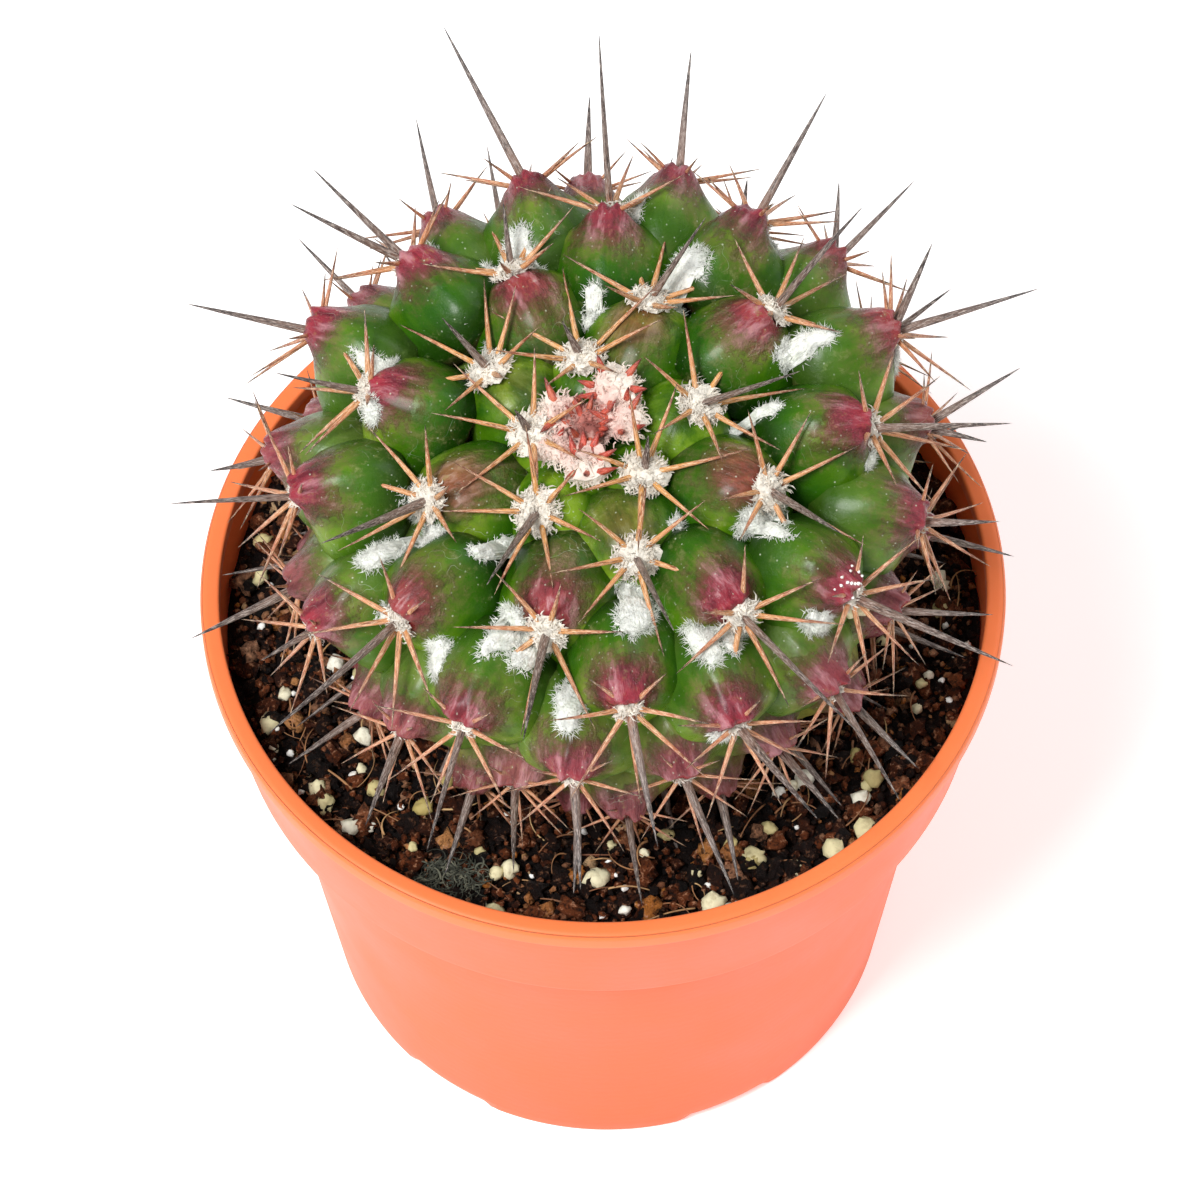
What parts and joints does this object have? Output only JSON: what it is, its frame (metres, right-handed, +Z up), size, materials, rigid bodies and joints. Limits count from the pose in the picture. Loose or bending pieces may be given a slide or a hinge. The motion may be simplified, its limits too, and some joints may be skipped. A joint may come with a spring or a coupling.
{
  "type": "potted globular cactus",
  "caption": "Round cactus covered in pointed tubercles, each with a wool pad and a star of spines, growing in a round collared plastic pot of gritty dark potting mix.",
  "frame": {"origin": "centre of the pot's foot, on the surface that it stands on", "axes": "+Z up along the pot's axis, -Y towards the side that the plant leans to, +X to the right seen from there"},
  "size_m": [0.1262, 0.1262, 0.1603],
  "materials": {
    "pot_plastic": "salmon-orange moulded plastic, satin, a little more saturated on the rolled lip and inside",
    "potting_mix": "dark brown peat and bark crumbs with black gaps, cream pumice and white perlite specks, dull",
    "cactus_flesh": "green waxy skin, paler and bluish low down, purple-maroon at the tubercle tips, fine pale dots, soft sheen",
    "crown_wool": "pinkish white wool around short dark red new spines",
    "spines": "tan-orange radial spines with dark tips, grey-brown to black centrals, out of a cream wool pad",
    "perlite": "cream-yellow porous volcanic grain, dull",
    "moss": "tangled grey-green to black moss, dull"
  },
  "bodies": {
    "root": {"pot": "pot_plastic", "potting_mix": "potting_mix", "cactus_stem": "cactus_flesh", "crown_wool": "crown_wool", "spine_cluster_02": "spines", "spine_cluster_03": "spines", "spine_cluster_04": "spines", "spine_cluster_05": "spines", "spine_cluster_06": "spines", "spine_cluster_07": "spines", "spine_cluster_08": "spines", "spine_cluster_09": "spines", "spine_cluster_10": "spines", "spine_cluster_11": "spines", "spine_cluster_12": "spines", "spine_cluster_13": "spines", "spine_cluster_14": "spines", "spine_cluster_15": "spines", "spine_cluster_16": "spines", "spine_cluster_17": "spines", "spine_cluster_18": "spines", "spine_cluster_19": "spines", "spine_cluster_20": "spines", "spine_cluster_21": "spines", "spine_cluster_22": "spines", "spine_cluster_23": "spines", "spine_cluster_24": "spines", "spine_cluster_25": "spines", "spine_cluster_26": "spines", "spine_cluster_27": "spines", "spine_cluster_28": "spines", "spine_cluster_29": "spines", "spine_cluster_30": "spines", "spine_cluster_31": "spines", "spine_cluster_32": "spines", "spine_cluster_33": "spines", "spine_cluster_34": "spines", "spine_cluster_35": "spines", "spine_cluster_36": "spines", "spine_cluster_37": "spines", "spine_cluster_38": "spines", "spine_cluster_39": "spines", "spine_cluster_40": "spines", "spine_cluster_41": "spines", "spine_cluster_42": "spines", "spine_cluster_43": "spines", "spine_cluster_44": "spines", "spine_cluster_45": "spines", "spine_cluster_46": "spines", "perlite_grain_1": "perlite", "perlite_grain_2": "perlite", "perlite_grain_3": "perlite", "perlite_grain_4": "perlite", "perlite_grain_5": "perlite", "perlite_grain_6": "perlite", "perlite_grain_7": "perlite", "perlite_grain_8": "perlite", "moss_clump": "moss"}
  },
  "joints": []
}
